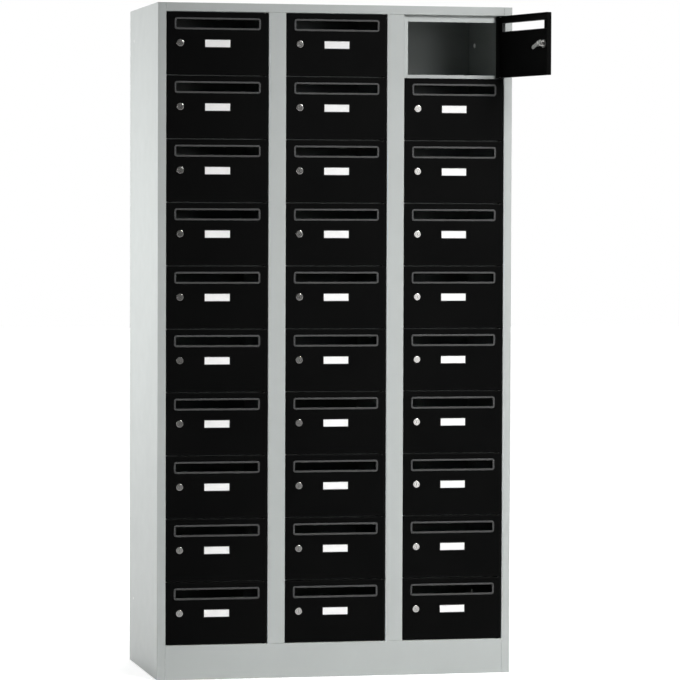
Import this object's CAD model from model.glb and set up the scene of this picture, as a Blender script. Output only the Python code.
from math import atan2, cos, hypot, pi, radians, sin, tan

import bmesh
import bpy
from mathutils import Euler, Matrix, Vector


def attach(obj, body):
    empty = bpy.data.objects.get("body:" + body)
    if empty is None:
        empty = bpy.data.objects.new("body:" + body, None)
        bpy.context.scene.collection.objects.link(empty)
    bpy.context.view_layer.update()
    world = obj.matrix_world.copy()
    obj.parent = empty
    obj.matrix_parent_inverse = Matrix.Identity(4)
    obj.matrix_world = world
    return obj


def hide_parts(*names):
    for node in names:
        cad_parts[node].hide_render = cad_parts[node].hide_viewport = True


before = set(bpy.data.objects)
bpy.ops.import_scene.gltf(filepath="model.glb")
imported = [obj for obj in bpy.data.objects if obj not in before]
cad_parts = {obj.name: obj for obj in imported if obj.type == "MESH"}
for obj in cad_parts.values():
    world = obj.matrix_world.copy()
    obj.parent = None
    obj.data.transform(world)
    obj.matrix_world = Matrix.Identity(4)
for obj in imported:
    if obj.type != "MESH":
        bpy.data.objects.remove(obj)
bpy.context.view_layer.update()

# Sizes of the cabinet in millimetres. X runs to the right, Y into the cabinet and Z up, with
# the origin on the floor under the centre of the carcass.
MM = 0.001
CABINET_W, CABINET_H, CABINET_D = 1000, 1860, 490
SHEET = 0.8
ROWS, COLUMNS = 10, ("left", "middle", "right")
BASE_H, TOP_RAIL_H = 96, 24
OUTER_POST_W, MIDDLE_POST_W = 23.5, 49
STOP_UP, STOP_DOWN, STRIKE_W = 8.5, 18.5, 14
JOINING_HOLE_INSET, JOINING_HOLE_FROM_BACK, JOINING_HOLE_R = 88, 70, 4
PLUG_HEAD_R, PLUG_HEAD_T, PLUG_RIM_T = 3, 4.4, 0.6

DOOR_DEPTH, DOOR_SHEET, DOOR_GAP, LOCK_EDGE_GAP = 14, 0.8, 3, 1.5
OPEN_COLUMN, OPEN_ROW, OPEN_ANGLE = 2, 1, 105
PIN_EDGE, PIN_BACK, PIN_R, PIN_RUNNING_FIT, PIN_TAIL = 8, 4.5, 2.5, 0.08, 1.5
TAB_T, TAB_RIM, STOP_CLEAR, POST_CLEAR = 1.5, 1.5, 1.5, 0.8
SLOT_W, SLOT_H, SLOT_DROP, SLOT_CORNER = 230, 23, 33, 2
BEZEL_RIM, BEZEL_PROUD, COLLAR_WALL, COLLAR_DEPTH = 5, 1.8, 1, 8
CARD_W, CARD_H, CARD_T, CARD_LAP, CARD_ROOM = 70, 20, 0.4, 0.75, 0.25
HOLDER_RIM, HOLDER_T = 2.5, 1.6
LOCK_IN, LOCK_RISE, LOCK_HEAD_R, LOCK_HEAD_PROUD = 37, 1, 9.75, 2.5
BARREL_R, PLUG_R, NECK_R, KEYWAY_W, KEYWAY_H, KEYWAY_DEPTH = 8, 6, 4, 1.4, 7, 6
CAM_T, CAM_ARM, CAM_TAIL, CAM_W, CAM_DROOP, CAM_EYE = 2, 33, 18, 11, 20, 3.5
CAM_SCREW_R, CAM_SCREW_HEAD_R, CAM_SCREW_HEAD_T, CAM_SCREW_GRIP = 1.5, 5, 2.2, 5
CROSS_ARM, CROSS_HALF_W, CROSS_DEPTH = 2.3, 0.45, 1.3
THREAD_PITCH, THREAD_DEPTH, THREAD_LEAD, THREAD_LEAD_IN = 1.25, 0.5, 0.6, 0.4
NUT_T, NUT_FLATS = 3.5, 21
SEAT, SEAT_GAP, PRESS_FIT, RUNNING_FIT = 0.05, 0.05, 0.02, 0.05
LOOSE_FIT, WASHER_FIT, CAM_GAP, CAM_CLEAR = 0.2, 0.15, 0.2, 1

FRONT, BACK, SIDE = -CABINET_D / 2, CABINET_D / 2, CABINET_W / 2
INNER_SIDE, RAIL_SIDE = SIDE - SHEET, SIDE - OUTER_POST_W
OPENING_W = (2 * RAIL_SIDE - 2 * MIDDLE_POST_W) / 3
COLUMN_PITCH = OPENING_W + MIDDLE_POST_W
DOORS_TOP = CABINET_H - TOP_RAIL_H
CELL_H = (DOORS_TOP - BASE_H) / ROWS
DOOR_H = CELL_H - DOOR_GAP
HINGE_GAP = hypot(PIN_EDGE, PIN_BACK) - PIN_EDGE + POST_CLEAR
PIN_IN = PIN_EDGE + HINGE_GAP
DOOR_W = OPENING_W - HINGE_GAP - LOCK_EDGE_GAP
STOP_SETBACK = PIN_BACK + hypot(PIN_EDGE, DOOR_DEPTH - PIN_BACK) + STOP_CLEAR
FRAME_DEPTH = STOP_SETBACK + SHEET
PIN_HALF = DOOR_GAP / 2 + DOOR_SHEET + PIN_TAIL
PIN_X, PIN_Y = OPENING_W / 2 - PIN_IN, FRONT + PIN_BACK
EDGE_X = PIN_EDGE - DOOR_W
LOCK_X = EDGE_X + LOCK_IN
LOCK_REACH = FRAME_DEPTH + CAM_CLEAR
CAM_BACK = LOCK_REACH + CAM_GAP + CAM_T
SLOT_Z = CELL_H / 2 - SLOT_DROP
CUT = 1  # how far a cutting shape reaches past the face it cuts

BEND_R = 0.8  # inside radius of a bend in the carcass
PAN_BEND_R = 0.7  # inside radius of a bend in a door
SOFT = 0.15  # rounding that paint leaves along a cut edge
FLAT = 0.4  # flat strip kept beside a bend, so that its shading ends there
LEAST_CORNER_R = 0.05  # a square corner is drawn this round, so that no two of its points meet
SHARP = radians(35)  # an edge that turns more than this is shaded as an edge
SQUARE = radians(50)  # an edge that turns more than this is softened
BEND_STEPS, RIM_STEPS, END_STEPS = 4, 3, 12  # facets round a bend, a rim and a rounded end
TURNED_SIDES, BARREL_SIDES, PIN_SIDES, SCREW_SIDES = 40, 32, 24, 16


def column_x(c):
    return (c - (len(COLUMNS) - 1) / 2) * COLUMN_PITCH


def partition_x(c):
    return column_x(c) + COLUMN_PITCH / 2


def boundary_z(r):
    return DOORS_TOP - r * CELL_H


def arc(x, y, r, start, end, steps):
    """Points along an arc, from the angle start to end in degrees."""
    angles = [radians(start + (end - start) * i / steps) for i in range(steps + 1)]
    return [(x + r * cos(a), y + r * sin(a)) for a in angles]


def to_mesh(name, bm, soften=0.0):
    """Mesh in metres from a shape in millimetres, with its square edges softened."""
    bmesh.ops.recalc_face_normals(bm, faces=bm.faces)
    if soften:
        square = [e for e in bm.edges if e.is_manifold and e.calc_face_angle(0) > SQUARE]
        bmesh.ops.bevel(bm, geom=square, offset=soften, segments=1, affect="EDGES",
                        clamp_overlap=True)
    mesh = bpy.data.meshes.new(name)
    bmesh.ops.scale(bm, vec=(MM, MM, MM), verts=bm.verts)
    bm.to_mesh(mesh)
    bm.free()
    return mesh


def loft(rings, joined=False):
    """Closed shape through rings of points. Joined rings make a tube that closes on itself."""
    bm = bmesh.new()
    loops = [[bm.verts.new(p) for p in ring] for ring in rings]
    pairs = list(zip(loops, loops[1:])) + ([(loops[-1], loops[0])] if joined else [])
    for a, b in pairs:
        for i in range(len(a)):
            j = (i + 1) % len(a)
            bm.faces.new((a[i], a[j], b[j], b[i]))
    if not joined:
        bm.faces.new(loops[0][::-1])
        bm.faces.new(loops[-1])
    return bm


def rounded_ring(w, h, r, y):
    """Rectangle with rounded corners, centred, in an upright plane."""
    r = max(r, LEAST_CORNER_R)
    return [(x, y, z) for sx, sz, start in ((1, 1, 0), (-1, 1, 90), (-1, -1, 180), (1, -1, 270))
            for x, z in arc(sx * (w / 2 - r), sz * (h / 2 - r), r, start, start + 90,
                            BEND_STEPS)]


def framed(w, h, corner, profile, joined=True):
    """A profile of (outward, y) points carried round a rectangle with rounded corners."""
    return loft([rounded_ring(w + 2 * out, h + 2 * out, corner + out, y)
                 for out, y in profile], joined)


def turned(profile, sides, joined=False, axis="Y"):
    """A profile of (radius, place) points turned about an axis."""
    angles = [2 * pi * i / sides for i in range(sides)]
    if axis == "Y":
        rings = [[(r * cos(a), y, r * sin(a)) for a in angles] for r, y in profile]
    else:
        rings = [[(r * cos(a), r * sin(a), z) for a in angles] for r, z in profile]
    return loft(rings, joined)


def block(low, high):
    bm = bmesh.new()
    bmesh.ops.create_cube(bm, size=1)
    low, high = Vector(low), Vector(high)
    for v in bm.verts:
        v.co = (low + high) / 2 + Vector(a * b for a, b in zip(v.co, high - low))
    return bm


def bent_stations(corners):
    """Places and square directions along the middle of a sheet that is bent at its corners."""
    corners = [Vector(p) for p in corners]
    r = BEND_R + SHEET / 2
    aims = [(b - a).normalized() for a, b in zip(corners, corners[1:])]
    squares = [Vector((-d.y, d.x)) for d in aims]
    stations = [(corners[0], squares[0])]
    for i, corner in enumerate(corners[1:-1]):
        before, after, square = aims[i], aims[i + 1], squares[i]
        turn = atan2(before.x * after.y - before.y * after.x, before.dot(after))
        side = 1 if turn > 0 else -1
        reach = r * tan(abs(turn) / 2)
        middle = corner - before * reach + square * side * r
        stations.append((corner - before * (reach + FLAT), square))
        for step in range(BEND_STEPS + 1):
            out = Matrix.Rotation(turn * step / BEND_STEPS, 2) @ square
            stations.append((middle - out * side * r, out))
        stations.append((corner + after * (reach + FLAT), squares[i + 1]))
    stations.append((corners[-1], squares[-1]))
    return stations


def bent_sheet(corners, low, high, put):
    """Sheet bent at corners and as long as from low to high, where high may vary."""
    bm = bmesh.new()
    rows = []
    for p, square in bent_stations(corners):
        row = []
        for side in (1, -1):
            u, v = p + square * side * SHEET / 2
            row += [bm.verts.new(put(u, v, low)), bm.verts.new(put(u, v, high(u, v)))]
        rows.append(row)
    for (a, b, c, d), (e, f, g, h) in zip(rows, rows[1:]):
        for face in ((a, e, f, b), (c, d, h, g), (a, c, g, e), (b, f, h, d)):
            bm.faces.new(face)
    for a, b, c, d in (rows[0], rows[-1]):
        bm.faces.new((a, b, d, c))
    return bm


def cut_away(mesh, cutters):
    """The mesh with each cutter taken out of it."""
    scene = bpy.context.scene.collection
    body = bpy.data.objects.new(mesh.name, mesh)
    tools = [bpy.data.objects.new("cutter", to_mesh("cutter", bm)) for bm in cutters]
    for o in [body] + tools:
        scene.objects.link(o)
    for tool in tools:
        hole = body.modifiers.new("hole", "BOOLEAN")
        hole.operation, hole.solver, hole.object = "DIFFERENCE", "EXACT", tool
    graph = bpy.context.evaluated_depsgraph_get()
    result = bpy.data.meshes.new_from_object(body.evaluated_get(graph))
    for o in tools + [body]:
        data = o.data
        bpy.data.objects.remove(o)
        bpy.data.meshes.remove(data)
    return result


def moved(bm, x, y=0.0, z=0.0):
    bmesh.ops.translate(bm, vec=(x, y, z), verts=bm.verts)
    return bm


def shade(mesh):
    """Smooth shading that stops at sharp edges."""
    mesh.polygons.foreach_set("use_smooth", [True] * len(mesh.polygons))
    mesh.set_sharp_from_angle(angle=SHARP)
    return mesh


def remember_place(mesh):
    """Keeps each point's place on its own piece, for patterns that follow the piece."""
    own = mesh.attributes.new("own_place", "FLOAT_VECTOR", "POINT")
    own.data.foreach_set("vector", [k for v in mesh.vertices for k in v.co])
    return mesh


def piece(name, mesh, material, body, node_name):
    """A finished piece that rides on its body and stands for the node given."""
    mesh.materials.clear()
    mesh.materials.append(material)
    o = bpy.data.objects.new(name, shade(mesh))
    bpy.context.scene.collection.objects.link(o)
    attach(o, body)
    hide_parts(node_name)


# Node groups: effects that several finishes share

def new_group(name, inputs, outputs, kind="ShaderNodeTree"):
    group = bpy.data.node_groups.new(name, kind)
    for label, socket, value in inputs:
        made = group.interface.new_socket(label, in_out="INPUT", socket_type="NodeSocket" + socket)
        if value is not None:
            made.default_value = value
    for label, socket in outputs:
        group.interface.new_socket(label, in_out="OUTPUT", socket_type="NodeSocket" + socket)
    return group, group.nodes.new("NodeGroupInput"), group.nodes.new("NodeGroupOutput")


def node(tree, kind, settings=None, **sockets):
    """A node with its settings. Sockets get values or links by name, or by number as in0."""
    n = tree.nodes.new(kind)
    for key, value in (settings or {}).items():
        setattr(n, key, value)
    for label, value in sockets.items():
        by_number = label.startswith("in") and label[2:].isdigit()
        socket = n.inputs[int(label[2:]) if by_number else label.replace("_", " ")]
        if isinstance(value, bpy.types.NodeSocket):
            tree.links.new(value, socket)
        else:
            socket.default_value = value
    return n


def maths(tree, operation, a, b):
    return node(tree, "ShaderNodeMath", {"operation": operation}, in0=a, in1=b).outputs[0]


def noise(tree, vector, scale, detail, rough=0.5):
    return node(tree, "ShaderNodeTexNoise", Vector=vector, Scale=scale, Detail=detail,
                Roughness=rough).outputs[0]


def spread(tree, value, low, high, to_low, to_high):
    return node(tree, "ShaderNodeMapRange", {"clamp": True}, in0=value, in1=low, in2=high,
                in3=to_low, in4=to_high).outputs[0]


def orange_peel():
    """Fine waves of a baked powder coat, Size across, as a height from 0 to 1."""
    g, start, end = new_group("orange peel", [("Vector", "Vector", None), ("Size", "Float", 0.002)],
                              [("Height", "Float")])
    scale = maths(g, "DIVIDE", 1.0, start.outputs["Size"])
    broad = noise(g, start.outputs["Vector"], scale, 1.0)
    fine = noise(g, start.outputs["Vector"], maths(g, "MULTIPLY", scale, 4.3), 1.0)
    both = maths(g, "ADD", maths(g, "MULTIPLY", broad, 0.75), maths(g, "MULTIPLY", fine, 0.25))
    g.links.new(both, end.inputs["Height"])
    return g


def tone_drift():
    """Slow change over a surface, between Low and High in patches of about Size."""
    g, start, end = new_group(
        "tone drift", [("Vector", "Vector", None), ("Size", "Float", 0.3),
                       ("Low", "Float", 0.0), ("High", "Float", 1.0)], [("Value", "Float")])
    patch = noise(g, start.outputs["Vector"], maths(g, "DIVIDE", 1.0, start.outputs["Size"]), 4.0)
    g.links.new(spread(g, patch, 0.3, 0.7, start.outputs["Low"], start.outputs["High"]),
                end.inputs["Value"])
    return g


def rubbed_edge():
    """Mask of the places along an edge, Width wide, where hands and cloths rub."""
    g, start, end = new_group(
        "rubbed edge", [("Vector", "Vector", None), ("Width", "Float", 0.001),
                        ("Patch size", "Float", 0.02)], [("Mask", "Float")])
    bevel = node(g, "ShaderNodeBevel", {"samples": 4}, Radius=start.outputs["Width"])
    true = g.nodes.new("ShaderNodeNewGeometry").outputs["Normal"]
    dot = node(g, "ShaderNodeVectorMath", {"operation": "DOT_PRODUCT"}, in0=bevel.outputs[0],
               in1=true).outputs["Value"]
    edge = spread(g, dot, 0.98, 0.75, 0.0, 1.0)
    patch = noise(g, start.outputs["Vector"],
                  maths(g, "DIVIDE", 1.0, start.outputs["Patch size"]), 3.0)
    g.links.new(maths(g, "MULTIPLY", edge, spread(g, patch, 0.4, 0.65, 0.0, 1.0)),
                end.inputs["Mask"])
    return g


def settled_dust():
    """Mask of the faint dust on faces that look up, broken into patches."""
    g, start, end = new_group("settled dust", [("Vector", "Vector", None)], [("Mask", "Float")])
    up = node(g, "ShaderNodeSeparateXYZ",
              in0=g.nodes.new("ShaderNodeTexCoord").outputs["Normal"]).outputs["Z"]
    patch = noise(g, start.outputs["Vector"], 90.0, 5.0, 0.6)
    g.links.new(maths(g, "MULTIPLY", spread(g, up, 0.5, 1.0, 0.0, 1.0),
                      spread(g, patch, 0.35, 0.75, 0.15, 1.0)), end.inputs["Mask"])
    return g


def turning_marks():
    """Rings that a lathe leaves about the Y axis of a piece, as a height from 0 to 1."""
    g, start, end = new_group("turning marks", [("Vector", "Vector", None),
                                                ("Pitch", "Float", 0.0002)], [("Height", "Float")])
    part = node(g, "ShaderNodeSeparateXYZ", in0=start.outputs["Vector"])
    flat = node(g, "ShaderNodeCombineXYZ", in0=part.outputs["X"], in2=part.outputs["Z"])
    r = node(g, "ShaderNodeVectorMath", {"operation": "LENGTH"},
             in0=flat.outputs[0]).outputs["Value"]
    along = maths(g, "ADD", r, part.outputs["Y"])
    rings = node(g, "ShaderNodeTexNoise", {"noise_dimensions": "1D"},
                 W=maths(g, "DIVIDE", along, start.outputs["Pitch"]), Scale=1.0,
                 Detail=2.0).outputs[0]
    g.links.new(rings, end.inputs["Height"])
    return g


PEEL, DRIFT, RUBBED, DUST, TURNING = (orange_peel(), tone_drift(), rubbed_edge(),
                                      settled_dust(), turning_marks())


def use(tree, group, output, **sockets):
    """An effect's output, where its group is placed in a material with its own values."""
    return node(tree, "ShaderNodeGroup", {"node_tree": group}, **sockets).outputs[output]


def new_finish(name, **plain):
    """Material with its Principled node. Plain values go on that node's own sockets."""
    m = bpy.data.materials.new(name)
    m.use_nodes = True
    tree = m.node_tree
    shader = tree.nodes["Principled BSDF"]
    for label, value in plain.items():
        shader.inputs[label.replace("_", " ")].default_value = value
    return m, tree, shader


def blend_colours(tree, factor, a, b):
    mix = tree.nodes.new("ShaderNodeMix")
    mix.data_type = "RGBA"
    colours = [s for s in mix.inputs if s.type == "RGBA"]
    tree.links.new(factor, mix.inputs[0])
    for socket, colour in zip(colours, (a, b)):
        if isinstance(colour, bpy.types.NodeSocket):
            tree.links.new(colour, socket)
        else:
            socket.default_value = (*colour, 1)
    return [s for s in mix.outputs if s.type == "RGBA"][0]


def object_place(tree):
    """Each point's place, in metres from the cabinet's origin."""
    return tree.nodes.new("ShaderNodeTexCoord").outputs["Object"]


def raise_surface(tree, shader, height, distance):
    """Relief on a finish, where a height of 1 stands out by the distance in metres."""
    bump = node(tree, "ShaderNodeBump", Strength=1.0, Distance=distance, Height=height)
    tree.links.new(bump.outputs[0], shader.inputs["Normal"])


RUB_SHOWS, DUST_SHOWS = 0.5, 0.35  # how far rubbing and dust change the paint's tone


def powder_coat(name, dark, light, rub, dust, gloss, peel_size, peel_depth, specular):
    """Baked powder coat: two tones that drift, rubbed edges, settled dust and orange peel."""
    m, tree, shader = new_finish(name, Specular_IOR_Level=specular)
    place = object_place(tree)
    tone = blend_colours(tree, use(tree, DRIFT, "Value", Vector=place, Size=0.16), dark, light)
    worn = use(tree, RUBBED, "Mask", Vector=place, Width=0.0009)
    tone = blend_colours(tree, maths(tree, "MULTIPLY", worn, RUB_SHOWS), tone, rub)
    dusty = maths(tree, "MULTIPLY", use(tree, DUST, "Mask", Vector=place), DUST_SHOWS)
    tone = blend_colours(tree, dusty, tone, dust)
    tree.links.new(tone, shader.inputs["Base Color"])
    rough = use(tree, DRIFT, "Value", Vector=place, Size=0.05, Low=gloss, High=gloss + 0.07)
    rough = maths(tree, "SUBTRACT", rough, maths(tree, "MULTIPLY", worn, 0.08))
    tree.links.new(maths(tree, "ADD", rough, maths(tree, "MULTIPLY", dusty, 0.3)),
                   shader.inputs["Roughness"])
    raise_surface(tree, shader, use(tree, PEEL, "Height", Vector=place, Size=peel_size), peel_depth)
    return m


def moulded(name, dark, light, gloss, grain, specular):
    """Moulded plastic with a fine spark-eroded grain."""
    m, tree, shader = new_finish(name, Specular_IOR_Level=specular)
    place = object_place(tree)
    tone = blend_colours(tree, use(tree, DRIFT, "Value", Vector=place, Size=0.03), dark, light)
    tree.links.new(tone, shader.inputs["Base Color"])
    tree.links.new(use(tree, DRIFT, "Value", Vector=place, Size=0.01, Low=gloss,
                       High=gloss + 0.08), shader.inputs["Roughness"])
    raise_surface(tree, shader, noise(tree, place, 1 / grain, 3.0, 0.6), 0.00004)
    return m


def card_stock():
    """Uncoated white card with the faint cloud and tooth of its fibres."""
    m, tree, shader = new_finish("white card", Specular_IOR_Level=0.25)
    place = object_place(tree)
    cloud = use(tree, DRIFT, "Value", Vector=place, Size=0.004)
    tree.links.new(blend_colours(tree, cloud, (0.94, 0.94, 0.93), (0.96, 0.96, 0.95)),
                   shader.inputs["Base Color"])
    fibres = node(tree, "ShaderNodeTexNoise", Vector=node(
        tree, "ShaderNodeMapping", Vector=place, Scale=(700, 700, 2600)).outputs[0],
        Scale=1.0, Detail=4.0).outputs[0]
    tree.links.new(spread(tree, fibres, 0.3, 0.7, 0.75, 0.95), shader.inputs["Roughness"])
    raise_surface(tree, shader, fibres, 0.00003)
    return m


def turned_nickel():
    """Satin nickel plate over turned brass."""
    m, tree, shader = new_finish("satin nickel", Metallic=1.0)
    own = node(tree, "ShaderNodeAttribute", {"attribute_name": "own_place"}).outputs["Vector"]
    place = object_place(tree)
    film = use(tree, DRIFT, "Value", Vector=place, Size=0.004)
    tree.links.new(blend_colours(tree, film, (0.60, 0.59, 0.57), (0.68, 0.67, 0.65)),
                   shader.inputs["Base Color"])
    marks = use(tree, TURNING, "Height", Vector=own, Pitch=0.00018)
    rough = spread(tree, marks, 0.3, 0.7, 0.13, 0.20)
    tree.links.new(rough, shader.inputs["Roughness"])
    raise_surface(tree, shader, marks, 0.00001)
    return m


def zinc_plate():
    """Bright zinc plate on pressed steel, with its clouded passivation."""
    m, tree, shader = new_finish("zinc plate", Metallic=1.0)
    place = object_place(tree)
    cloud = use(tree, DRIFT, "Value", Vector=place, Size=0.006)
    tree.links.new(blend_colours(tree, cloud, (0.50, 0.51, 0.50), (0.64, 0.64, 0.61)),
                   shader.inputs["Base Color"])
    scuffs = node(tree, "ShaderNodeTexNoise", Vector=node(
        tree, "ShaderNodeMapping", Vector=place, Scale=(300, 300, 3000)).outputs[0],
        Scale=1.0, Detail=3.0).outputs[0]
    tree.links.new(spread(tree, scuffs, 0.3, 0.7, 0.28, 0.46), shader.inputs["Roughness"])
    raise_surface(tree, shader, scuffs, 0.00001)
    return m


def milky_plastic():
    """Thin milky plastic, through which light from the other side shows."""
    m, tree, shader = new_finish("milky plastic", Transmission_Weight=0.5, IOR=1.45)
    place = object_place(tree)
    cloud = use(tree, DRIFT, "Value", Vector=place, Size=0.003)
    tree.links.new(blend_colours(tree, cloud, (0.90, 0.90, 0.88), (0.95, 0.95, 0.93)),
                   shader.inputs["Base Color"])
    tree.links.new(spread(tree, cloud, 0.0, 1.0, 0.45, 0.55), shader.inputs["Roughness"])
    raise_surface(tree, shader, noise(tree, place, 2500.0, 3.0, 0.6), 0.00002)
    return m


GREY_PAINT = powder_coat(
    "light grey powder coat", (0.448, 0.473, 0.463), (0.464, 0.489, 0.479),
    rub=(0.57, 0.60, 0.59), dust=(0.60, 0.59, 0.56), gloss=0.42, peel_size=0.0022,
    peel_depth=0.000035, specular=0.5)
BLACK_PAINT = powder_coat(
    "black powder coat", (0.0025, 0.0026, 0.0026), (0.0034, 0.0035, 0.0034),
    rub=(0.016, 0.016, 0.016), dust=(0.05, 0.05, 0.048), gloss=0.46, peel_size=0.0018,
    peel_depth=0.00004, specular=0.02)
BEZEL_PLASTIC = moulded("dark grey plastic", (0.054, 0.055, 0.055), (0.063, 0.064, 0.064),
                        gloss=0.46, grain=0.0004, specular=0.3)
BLACK_PLASTIC = moulded("black plastic", (0.0040, 0.0040, 0.0040), (0.0065, 0.0065, 0.0065),
                        gloss=0.42, grain=0.0005, specular=0.1)
CARD, NICKEL, ZINC, MILKY_PLASTIC = card_stock(), turned_nickel(), zinc_plate(), milky_plastic()


# Carcass

JOINING_HOLES_Z = BASE_H + JOINING_HOLE_INSET, CABINET_H - JOINING_HOLE_INSET


def round_cutter(r, low, high):
    """Upright cutter for a round hole."""
    return turned([(r, low), (r, high)], PIN_SIDES, axis="Z")


def straight(value):
    """An end of a bent sheet that is cut off square."""
    return lambda u, v: value


def painted(name, mesh, node_name):
    """A grey piece of the carcass."""
    piece(name, mesh, GREY_PAINT, "cabinet", node_name)


def side_panel(name, mirror):
    """Side panel folded round the front corner into the outer post."""
    post_in, t = -SIDE + OUTER_POST_W, SHEET / 2
    corners = [(-SIDE + t, BACK), (-SIDE + t, FRONT + t), (post_in - t, FRONT + t),
               (post_in - t, FRONT + FRAME_DEPTH)]

    def top(x, y):
        """The fold behind the post ends under the top panel."""
        return CABINET_H - (SHEET if y > FRONT + SHEET and x > -INNER_SIDE + 2 * BEND_R else 0)
    mesh = to_mesh(name, bent_sheet(corners, 0, top, lambda u, v, w: (u * mirror, v, w)), SOFT)
    holes = []
    for z in JOINING_HOLES_Z:
        bm = round_cutter(JOINING_HOLE_R + PRESS_FIT, -CUT, CUT)
        bmesh.ops.rotate(bm, matrix=Matrix.Rotation(pi / 2, 3, "Y"), verts=bm.verts)
        holes.append(moved(bm, -mirror * SIDE, BACK - JOINING_HOLE_FROM_BACK, z))
    painted(name.replace("panel", "folded"), cut_away(mesh, holes), name)


def pin_cutters(low, high):
    """Cutters for the pin's hole in each column."""
    return [moved(round_cutter(PIN_R + PRESS_FIT, low, high), column_x(c) + PIN_X, PIN_Y)
            for c in range(len(COLUMNS))]


def plinth():
    """Front of the base, folded back along its foot and its top."""
    t, inner = SHEET / 2, FRONT + FRAME_DEPTH
    corners = [(inner, t), (FRONT + t, t), (FRONT + t, BASE_H - t), (inner, BASE_H - t)]
    mesh = to_mesh("plinth", bent_sheet(corners, -RAIL_SIDE, straight(RAIL_SIDE),
                                        lambda u, v, w: (w, u, v)), SOFT)
    painted("base_front", cut_away(mesh, pin_cutters(BASE_H - SHEET - CUT, BASE_H + CUT)),
            "plinth")


def top_rail():
    """Rail over the doors, folded back along its lower edge."""
    t, inner = SHEET / 2, FRONT + FRAME_DEPTH
    corners = [(inner, DOORS_TOP + t), (FRONT + t, DOORS_TOP + t), (FRONT + t, CABINET_H)]
    mesh = to_mesh("top_rail", bent_sheet(corners, -RAIL_SIDE, straight(RAIL_SIDE),
                                          lambda u, v, w: (w, u, v)), SOFT)
    painted("rail_over_doors",
            cut_away(mesh, pin_cutters(DOORS_TOP - CUT, DOORS_TOP + SHEET + CUT)), "top_rail")


def middle_post(name, x):
    """Channel between two columns of doors."""
    half, t, inner = MIDDLE_POST_W / 2, SHEET / 2, FRONT + FRAME_DEPTH
    corners = [(x - half + t, inner), (x - half + t, FRONT + t), (x + half - t, FRONT + t),
               (x + half - t, inner)]
    bm = bent_sheet(corners, BASE_H, straight(DOORS_TOP), lambda u, v, w: (u, v, w))
    painted(name + "_channel", to_mesh(name, bm, SOFT), name)


def soft_plate(name, low, high, node_name):
    """Flat sheet with its edges softened by the paint."""
    painted(name, to_mesh(name, block(low, high), SOFT), node_name)


def repeater():
    """Node tree that sets a piece out in columns and rows, as an inner frame is built."""
    g, start, end = new_group(
        "columns and rows",
        [("Geometry", "Geometry", None), ("Columns", "Int", 3), ("Rows", "Int", 10),
         ("Column pitch", "Float", 0.334), ("Row pitch", "Float", 0.174),
         ("Finish", "Material", None)], [("Geometry", "Geometry")], "GeometryNodeTree")

    def line(count, x, z):
        offset = node(g, "ShaderNodeCombineXYZ", in0=x, in2=z)
        return node(g, "GeometryNodeMeshLine", {"mode": "OFFSET", "count_mode": "TOTAL"},
                    Count=count, Offset=offset.outputs[0]).outputs[0]
    down = maths(g, "MULTIPLY", start.outputs["Row pitch"], -1.0)
    stack = node(g, "GeometryNodeInstanceOnPoints", Points=line(start.outputs["Rows"], 0.0, down),
                 Instance=start.outputs["Geometry"]).outputs[0]
    grid = node(g, "GeometryNodeInstanceOnPoints",
                Points=line(start.outputs["Columns"], start.outputs["Column pitch"], 0.0),
                Instance=stack).outputs[0]
    real = node(g, "GeometryNodeRealizeInstances", Geometry=grid).outputs[0]
    done = node(g, "GeometryNodeSetMaterial", Geometry=real, Material=start.outputs["Finish"])
    g.links.new(done.outputs[0], end.inputs["Geometry"])
    return g


REPEAT = repeater()


def set_out(mesh, rows, finish):
    """Copies of a piece in each column and in rows, from the top left one that is given."""
    o = bpy.data.objects.new(mesh.name, mesh)
    bpy.context.scene.collection.objects.link(o)
    layout = o.modifiers.new("layout", "NODES")
    layout.node_group = REPEAT
    values = {"Columns": len(COLUMNS), "Rows": rows, "Column pitch": COLUMN_PITCH * MM,
              "Row pitch": CELL_H * MM, "Finish": finish}
    for item in REPEAT.interface.items_tree:
        if item.item_type == "SOCKET" and item.in_out == "INPUT" and item.name in values:
            layout[item.identifier] = values[item.name]
    graph = bpy.context.evaluated_depsgraph_get()
    result = bpy.data.meshes.new_from_object(o.evaluated_get(graph))
    bpy.data.objects.remove(o)
    return result


def gather(meshes, name):
    """Several meshes as one."""
    bm = bmesh.new()
    for mesh in meshes:
        bm.from_mesh(mesh)
    whole = bpy.data.meshes.new(name)
    bm.to_mesh(whole)
    bm.free()
    return whole


def stop_rails():
    """Strips across the openings, which edge the shelves and stop the doors."""
    left, right = column_x(0) - OPENING_W / 2 + STRIKE_W, column_x(0) + OPENING_W / 2
    near, far = FRONT + STOP_SETBACK, FRONT + FRAME_DEPTH
    kinds = []
    for first, rows, low, high in ((0, 1, -STOP_DOWN, 0), (1, ROWS - 1, -STOP_DOWN, STOP_UP),
                                   (ROWS, 1, 0, STOP_UP)):
        z = boundary_z(first)
        mesh = to_mesh("stop", block((left, near, z + low), (right, far, z + high)), SOFT)
        kinds.append(set_out(mesh, rows, GREY_PAINT))
    painted("door_stops", gather(kinds, "door_stops"), "stop_rails")


def strike_strips():
    """Upright strips at the left of each opening, which the cams catch behind."""
    left, near = column_x(0) - OPENING_W / 2, FRONT + STOP_SETBACK
    mesh = to_mesh("strike", block((left, near, BASE_H), (left + STRIKE_W, FRONT + FRAME_DEPTH,
                                                          DOORS_TOP)), SOFT)
    painted("lock_strips", set_out(mesh, 1, GREY_PAINT), "strike_strips")


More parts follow.
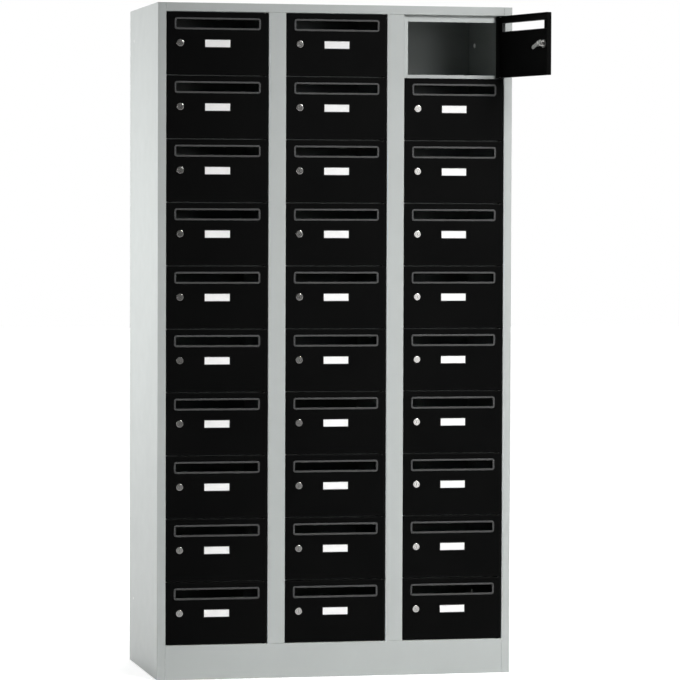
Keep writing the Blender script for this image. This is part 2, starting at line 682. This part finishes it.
def hinge_tabs():
    """Tabs in the gaps between the doors, each with a hole for its pin."""
    r, half = PIN_R + TAB_RIM, TAB_T / 2
    outline = [(PIN_IN, -r), (PIN_IN, r)] + arc(0, 0, r, 90, 270, END_STEPS)
    bm = loft([[(x, y, z) for x, y in outline] for z in (-half, half)])
    hole = round_cutter(PIN_R + PRESS_FIT, -CUT - half, CUT + half)
    mesh = cut_away(to_mesh("tab", bm, SOFT), [hole])
    mesh.transform(Matrix.Translation(MM * Vector((column_x(0) + PIN_X, PIN_Y, boundary_z(1)))))
    piece("pin_tabs", set_out(mesh, ROWS - 1, BLACK_PAINT), BLACK_PAINT, "cabinet",
          "hinge_tabs")


def pin(low, high, first, rows):
    """Pins from low to high about a boundary between doors, in rows from the first boundary."""
    lead = 0.5  # chamfer at each end of a pin
    bm = turned([(PIN_R - lead, low), (PIN_R, low + lead), (PIN_R, high - lead),
                 (PIN_R - lead, high)], PIN_SIDES, axis="Z")
    moved(bm, column_x(0) + PIN_X, PIN_Y, boundary_z(first))
    return set_out(to_mesh("pin", bm), rows, ZINC)


def hinge_pins():
    """Pins at the right of each column. The two at its ends sit in the rail and the plinth."""
    pins = [pin(-PIN_HALF, SHEET, 0, 1), pin(-PIN_HALF, PIN_HALF, 1, ROWS - 1),
            pin(-SHEET, PIN_HALF, ROWS, 1)]
    piece("hinge_pin_set", gather(pins, "hinge_pin_set"), ZINC, "cabinet", "hinge_pins")


def washer(seat, first, rows):
    """Washers that lie on a seat over a boundary, in rows from the first boundary."""
    r, bore, top = PIN_R + TAB_RIM, PIN_R + WASHER_FIT, DOOR_GAP / 2 - SEAT_GAP
    edge = 0.1
    bm = turned([(bore, seat + edge), (bore + edge, seat), (r - edge, seat), (r, seat + edge),
                 (r, top - edge), (r - edge, top), (bore + edge, top), (bore, top - edge)],
                PIN_SIDES, True, "Z")
    moved(bm, column_x(0) + PIN_X, PIN_Y, boundary_z(first))
    return set_out(to_mesh("washer", bm), rows, BLACK_PLASTIC)


def hinge_washers():
    """Washers under the doors, on the tabs and on the plinth."""
    washers = [washer(TAB_T / 2, 1, ROWS - 1), washer(0, ROWS, 1)]
    piece("washer_set", gather(washers, "washer_set"), BLACK_PLASTIC, "cabinet",
          "hinge_washers")


def joining_hole_plugs():
    """Plugs in the joining holes: the stem fills the hole and the domed head lies inside."""
    stem, head, lead_in, lead = JOINING_HOLE_R, JOINING_HOLE_R + PLUG_HEAD_R, 0.3, 0.15
    dome = [(head * sin(radians(tilt)),
             SHEET + PLUG_RIM_T + (PLUG_HEAD_T - PLUG_RIM_T) * cos(radians(tilt)))
            for tilt in range(90, 17, -12)]
    profile = [(stem - lead_in, 0), (stem, lead), (stem, SHEET), (head, SHEET)] + dome
    plugs = []
    for mirror in (1, -1):
        for z in JOINING_HOLES_Z:
            bm = turned(profile, BARREL_SIDES, axis="Z")
            bmesh.ops.rotate(bm, matrix=Matrix.Rotation(mirror * pi / 2, 3, "Y"), verts=bm.verts)
            moved(bm, -mirror * SIDE, BACK - JOINING_HOLE_FROM_BACK, z)
            plugs.append(to_mesh("plug", bm))
    piece("hole_plug_set", gather(plugs, "hole_plug_set"), MILKY_PLASTIC, "cabinet",
          "joining_hole_plugs")


def carcass():
    side_panel("left_side_panel", 1)
    side_panel("right_side_panel", -1)
    plinth()
    top_rail()
    middle_post("left_middle_post", partition_x(0))
    middle_post("right_middle_post", partition_x(1))
    soft_plate("top_sheet", (-INNER_SIDE, FRONT + SHEET, CABINET_H - SHEET),
               (INNER_SIDE, BACK - SHEET, CABINET_H), "top_panel")
    soft_plate("back_sheet", (-INNER_SIDE, BACK - SHEET, 0), (INNER_SIDE, BACK, CABINET_H),
               "back_panel")
    stop_rails()
    strike_strips()
    hinge_tabs()
    hinge_pins()
    hinge_washers()
    joining_hole_plugs()
    for name in ("floor_panel", "left_partition", "right_partition", "left_shelves",
                 "middle_shelves", "right_shelves"):
        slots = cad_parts[name].data.materials
        slots.clear()
        slots.append(GREY_PAINT)


# Pieces of a door. Each is drawn from its hinge pin, with Y = 0 at the face of the door.

def door_pan():
    """Steel pan, folded back along its four edges."""
    w, h, t = DOOR_W, DOOR_H, DOOR_SHEET
    r = t + PAN_BEND_R
    lip = 0.12
    profile = ([(-r - FLAT, 0)] + arc(-r, r, r, -90, 0, BEND_STEPS)
               + [(0, r + FLAT), (0, DOOR_DEPTH - lip), (-lip, DOOR_DEPTH),
                  (-t + lip, DOOR_DEPTH), (-t, DOOR_DEPTH - lip), (-t, r + FLAT)]
               + arc(-r, r, PAN_BEND_R, 0, -90, BEND_STEPS) + [(-r - FLAT, t)])
    pan = moved(framed(w, h, r, profile, False), (EDGE_X + PIN_EDGE) / 2)
    room = COLLAR_WALL + LOOSE_FIT
    slot = loft([rounded_ring(SLOT_W + 2 * room, SLOT_H + 2 * room, SLOT_CORNER + room, y)
                 for y in (-CUT, t + CUT)])
    barrel = turned([(BARREL_R + LOOSE_FIT, -CUT), (BARREL_R + LOOSE_FIT, t + CUT)],
                    BARREL_SIDES)
    bore = round_cutter(PIN_R + PIN_RUNNING_FIT, -h, h)
    return cut_away(to_mesh("pan", pan), [moved(slot, -PIN_X, 0, SLOT_Z),
                                          moved(barrel, LOCK_X, 0, LOCK_RISE),
                                          moved(bore, 0, PIN_BACK)])


def slot_bezel():
    """Bezel with rounded rims, and the collar that lines the slot."""
    inner, outer, front = 0.6, 0.8, -BEZEL_PROUD
    profile = ([(0, COLLAR_DEPTH), (0, front + inner + FLAT)]
               + arc(inner, front + inner, inner, 180, 270, RIM_STEPS)
               + [(inner + FLAT, front), (BEZEL_RIM - outer - FLAT, front)]
               + arc(BEZEL_RIM - outer, front + outer, outer, -90, 0, RIM_STEPS)
               + [(BEZEL_RIM, -SEAT), (COLLAR_WALL, -SEAT), (COLLAR_WALL, COLLAR_DEPTH)])
    return to_mesh("bezel", moved(framed(SLOT_W, SLOT_H, SLOT_CORNER, profile), -PIN_X, 0, SLOT_Z))


def card_holder():
    """Frame whose lip holds the name card, with the card's pocket behind it."""
    pocket, room = -CARD_T - CARD_ROOM, CARD_LAP + CARD_ROOM
    slope, outer, corner = 0.35, 0.5, 0.3
    profile = ([(0, pocket), (0, -HOLDER_T + slope), (slope, -HOLDER_T)]
               + [(HOLDER_RIM - outer - FLAT, -HOLDER_T)]
               + arc(HOLDER_RIM - outer, -HOLDER_T + outer, outer, -90, 0, RIM_STEPS)
               + [(HOLDER_RIM, -SEAT), (room, -SEAT), (room, pocket)])
    return to_mesh("holder", moved(framed(CARD_W, CARD_H, corner, profile), -PIN_X))


def name_card():
    w, h = CARD_W + 2 * CARD_LAP, CARD_H + 2 * CARD_LAP
    edge, corner, near, far = 0.08, 0.6, -SEAT - CARD_T, -SEAT
    profile = [(-edge, near), (0, near + edge), (0, far - edge), (-edge, far)]
    return to_mesh("card", moved(framed(w, h, corner, profile, False), -PIN_X))


def threads(start, end):
    """Profile of the screw thread along the barrel."""
    points = []
    while start + THREAD_PITCH < end:
        points += [(BARREL_R, start), (BARREL_R - THREAD_DEPTH, start + THREAD_PITCH / 2)]
        start += THREAD_PITCH
    return points + [(BARREL_R, start), (BARREL_R, end)]


def lock_housing():
    """Housing with its rounded head outside and its threaded barrel through the door."""
    front, bore, edge, outer = -LOCK_HEAD_PROUD, PLUG_R + RUNNING_FIT, 0.25, 0.9
    profile = ([(bore, front + edge), (bore + edge, front), (LOCK_HEAD_R - outer - FLAT, front)]
               + arc(LOCK_HEAD_R - outer, front + outer, outer, -90, 0, RIM_STEPS)
               + [(LOCK_HEAD_R, -SEAT), (BARREL_R, -SEAT)]
               + threads(DOOR_SHEET, LOCK_REACH - THREAD_LEAD)
               + [(BARREL_R - THREAD_LEAD_IN, LOCK_REACH), (bore, LOCK_REACH)])
    return remember_place(to_mesh("housing", turned(profile, TURNED_SIDES, True)))


def lock_nut():
    """Six-sided nut with its corners turned down."""
    near, far = DOOR_SHEET + SEAT, DOOR_SHEET + SEAT + NUT_T
    r, edge = NUT_FLATS / 2 / cos(pi / 6), 0.5
    bm = turned([(r - edge, near), (r, near + edge), (r, far - edge), (r - edge, far)], 6)
    bore = turned([(BARREL_R + PRESS_FIT, near - CUT), (BARREL_R + PRESS_FIT, far + CUT)],
                  TURNED_SIDES)
    return remember_place(cut_away(to_mesh("nut", bm), [bore]))


def lock_plug():
    """Plug with its keyway, and the neck that carries the cam."""
    front, edge = -LOCK_HEAD_PROUD, 0.3
    profile = [(PLUG_R - edge - FLAT, front), (PLUG_R - edge, front), (PLUG_R, front + edge),
               (PLUG_R, LOCK_REACH - edge), (PLUG_R - edge, LOCK_REACH), (NECK_R, LOCK_REACH),
               (NECK_R, CAM_BACK)]
    end_r = KEYWAY_W / 2 - LEAST_CORNER_R
    keyway = loft([rounded_ring(KEYWAY_W, KEYWAY_H, end_r, y)
                   for y in (front - CUT, front + KEYWAY_DEPTH)])
    hole = CAM_SCREW_R + PRESS_FIT
    screw = turned([(hole, CAM_BACK + SEAT - CAM_SCREW_GRIP - CUT), (hole, CAM_BACK + CUT)],
                   SCREW_SIDES)
    return remember_place(cut_away(to_mesh("plug", turned(profile, TURNED_SIDES)),
                                   [keyway, screw]))


def lock_cam():
    """Pressed cam in its free position, turned away from the strike strip."""
    eye, half, eye_steps, pressed_edge = NECK_R + CAM_EYE, CAM_W / 2, 8, 0.25
    neck = (eye ** 2 - half ** 2) ** 0.5
    lean = 180 / pi * atan2(half, neck)
    outline = (arc(CAM_ARM - half, 0, half, -90, 90, END_STEPS)
               + arc(0, 0, eye, lean, 180 - lean, eye_steps)
               + arc(-CAM_TAIL + half, 0, half, 90, 270, END_STEPS)
               + arc(0, 0, eye, 180 + lean, 360 - lean, eye_steps))
    near = CAM_BACK - CAM_T
    bm = loft([[(x, y, z) for x, z in outline] for y in (near, CAM_BACK)])
    mesh = to_mesh("cam", bm, pressed_edge)
    hole = turned([(NECK_R + PRESS_FIT, near - CUT), (NECK_R + PRESS_FIT, CAM_BACK + CUT)],
                  BARREL_SIDES)
    mesh = cut_away(mesh, [hole])
    mesh.transform(Matrix.Rotation(radians(CAM_DROOP), 4, "Y"))
    return remember_place(mesh)


def cam_screw():
    """Pan head screw with a cross recess."""
    seat, edge = CAM_BACK + SEAT, 0.2
    end, r = seat + CAM_SCREW_HEAD_T, CAM_SCREW_HEAD_R
    shank = [(CAM_SCREW_R, seat - CAM_SCREW_GRIP), (CAM_SCREW_R, seat)]
    pan_head = [(r - edge, seat), (r, seat + edge), (r, seat + 0.7), (r - 0.35, seat + 1.4),
                (r - 1.1, seat + 1.9), (r - 2.2, end - 0.06), (0.6, end)]
    mesh = to_mesh("screw", turned(shank + pan_head, BARREL_SIDES))
    cross = [block((-x, end - CROSS_DEPTH, -z), (x, end + CUT, z))
             for x, z in ((CROSS_HALF_W, CROSS_ARM), (CROSS_ARM, CROSS_HALF_W))]
    return remember_place(cut_away(mesh, cross))


def at_lock(mesh):
    mesh.transform(Matrix.Translation(MM * Vector((LOCK_X, 0, LOCK_RISE))))
    return mesh


def door_pieces():
    """Each piece of a door: name, mesh, finish, slot, and whether it turns with the lock."""
    return [("pan", door_pan(), BLACK_PAINT, "black_paint", False),
            ("slot_bezel", slot_bezel(), BEZEL_PLASTIC, "dark_grey_plastic", False),
            ("card_holder", card_holder(), BLACK_PLASTIC, "black_plastic", False),
            ("name_card", name_card(), CARD, "white_card", False),
            ("lock_housing", at_lock(lock_housing()), NICKEL, "nickel", False),
            ("lock_nut", at_lock(lock_nut()), ZINC, "zinc", False),
            ("lock_plug", at_lock(lock_plug()), NICKEL, "nickel", True),
            ("lock_cam", at_lock(lock_cam()), ZINC, "zinc", True),
            ("cam_screw", at_lock(cam_screw()), ZINC, "zinc", True)]


def doors():
    drawn = door_pieces()
    for c, column in enumerate(COLUMNS):
        for r in range(1, ROWS + 1):
            is_open = (c, r) == (OPEN_COLUMN, OPEN_ROW)
            place = (Matrix.Translation(MM * Vector((column_x(c) + PIN_X, PIN_Y,
                                                     boundary_z(r - 0.5))))
                     @ Matrix.Rotation(radians(OPEN_ANGLE if is_open else 0), 4, "Z")
                     @ Matrix.Translation(MM * Vector((0, -PIN_BACK, 0))))
            for name, mesh, finish, slot, turns in drawn:
                copy = mesh.copy()
                copy.transform(place)
                if is_open:
                    body = "open_door_lock" if turns else "open_door"
                    stands_for = "open_door_" + name
                else:
                    body = stands_for = f"door_{column}_{r}"
                piece(f"{name}_{column}_{r}", copy, finish, body, stands_for)


carcass()
doors()


# Room, lights and camera

FILL = 0.03  # even light from all round
STUDIO_FRONT = 0.07  # how bright the room before the cabinet shows in metal
FLOOR_REACH, FLOOR_SQUARES = 30, 8
CAMERA_PLACE = (-2.09928, -10.04282, 1.28454)
CAMERA_TURN = (88.0008, -0.1918, -12.15)
SENSOR_WIDTH, LENS = 36, 191.81
NEAREST, FARTHEST = 0.5, 100


def white_to_camera(tree, in_metal):
    """1 where the camera looks, straight or through glass, and in_metal where it is mirrored."""
    path = tree.nodes.new("ShaderNodeLightPath")
    clear = maths(tree, "MAXIMUM", path.outputs["Is Camera Ray"],
                  path.outputs["Is Transmission Ray"])
    return maths(tree, "MAXIMUM", clear,
                 maths(tree, "MULTIPLY", path.outputs["Is Glossy Ray"], in_metal))


def room():
    """Pale floor, which shows as white to the camera and keeps the cabinet's shadow."""
    bm = bmesh.new()
    bmesh.ops.create_grid(bm, x_segments=FLOOR_SQUARES, y_segments=FLOOR_SQUARES,
                          size=FLOOR_REACH)
    mesh = bpy.data.meshes.new("floor")
    bm.to_mesh(mesh)
    bm.free()
    floor = bpy.data.objects.new("floor", mesh)
    bpy.context.scene.collection.objects.link(floor)
    m, tree, shader = new_finish("studio floor", Roughness=0.9)
    place = object_place(tree)
    cloud = use(tree, DRIFT, "Value", Vector=place, Size=1.5)
    tree.links.new(blend_colours(tree, cloud, (0.86, 0.86, 0.86), (0.88, 0.88, 0.88)),
                   shader.inputs["Base Color"])
    # Metal shows the floor behind the cabinet white and the floor before it as it is.
    depth = node(tree, "ShaderNodeSeparateXYZ", in0=place).outputs["Y"]
    seen = white_to_camera(tree, spread(tree, depth, -0.5, 0.5, 0.0, 1.0))
    # Round the cabinet's foot the floor glows less, so that its shadow shows there.
    away = node(tree, "ShaderNodeVectorMath", {"operation": "LENGTH"},
                in0=place).outputs["Value"]
    glow = spread(tree, away, 0.6, 2.2, 0.6, 1.0)
    shader.inputs["Emission Color"].default_value = (1, 1, 1, 1)
    tree.links.new(maths(tree, "MULTIPLY", seen, glow), shader.inputs["Emission Strength"])
    mesh.materials.append(m)


def backdrop():
    """White behind the cabinet, also in metal and glass, a dim studio before it, and a dim fill."""
    world = bpy.data.worlds.new("studio")
    bpy.context.scene.world = world
    world.use_nodes = True
    tree = world.node_tree
    aim = node(tree, "ShaderNodeSeparateXYZ",
               in0=tree.nodes.new("ShaderNodeTexCoord").outputs["Generated"])
    behind = spread(tree, aim.outputs["Y"], -0.5, 0.1, STUDIO_FRONT, 1.0)
    strength = maths(tree, "MAXIMUM", white_to_camera(tree, behind), FILL)
    tree.nodes["Background"].inputs["Color"].default_value = (1, 1, 1, 1)
    tree.links.new(strength, tree.nodes["Background"].inputs["Strength"])


def lamp(name, place, aim, width, height, power, opening=180, mirrored=True):
    """Softbox. A grid holds its light within its opening, and metal shows it if mirrored."""
    light = bpy.data.lights.new(name, "AREA")
    light.shape = "RECTANGLE"
    light.size, light.size_y, light.energy = width, height, power
    light.spread = radians(opening)
    o = bpy.data.objects.new(name, light)
    o.location = place
    o.rotation_euler = (Vector(aim) - Vector(place)).to_track_quat("-Z", "Y").to_euler()
    o.visible_camera, o.visible_glossy = False, mirrored
    bpy.context.scene.collection.objects.link(o)


def camera():
    data = bpy.data.cameras.new("camera")
    data.sensor_width, data.lens = SENSOR_WIDTH, LENS
    data.clip_start, data.clip_end = NEAREST, FARTHEST
    o = bpy.data.objects.new("camera", data)
    o.location = CAMERA_PLACE
    o.rotation_euler = Euler([radians(a) for a in CAMERA_TURN])
    bpy.context.scene.collection.objects.link(o)
    bpy.context.scene.camera = o


room()
backdrop()
lamp("key softbox", (1.37, -3.2, 2.8), (0.1, 0, 0.1), width=1, height=1, power=27.6, opening=78)
lamp("side softbox", (-2.4, 0.2, 1.2), (-0.5, 0, 1.3), width=1.2, height=1.2, power=17.2,
     opening=100)
lamp("strip light", (0.97, -3.0, 0.95), (0.2, 0, 0.95), width=0.45, height=1.8, power=3.6)
lamp("front fill", (1.1, -7.0, 1.9), (0, 0, 1.0), width=1, height=1, power=27, mirrored=False)
lamp("back softbox", (1.2, 3.0, 4.2), (0, 0, 1.2), width=2.5, height=2.5, power=140)
camera()
bpy.context.scene.view_settings.view_transform = "Standard"
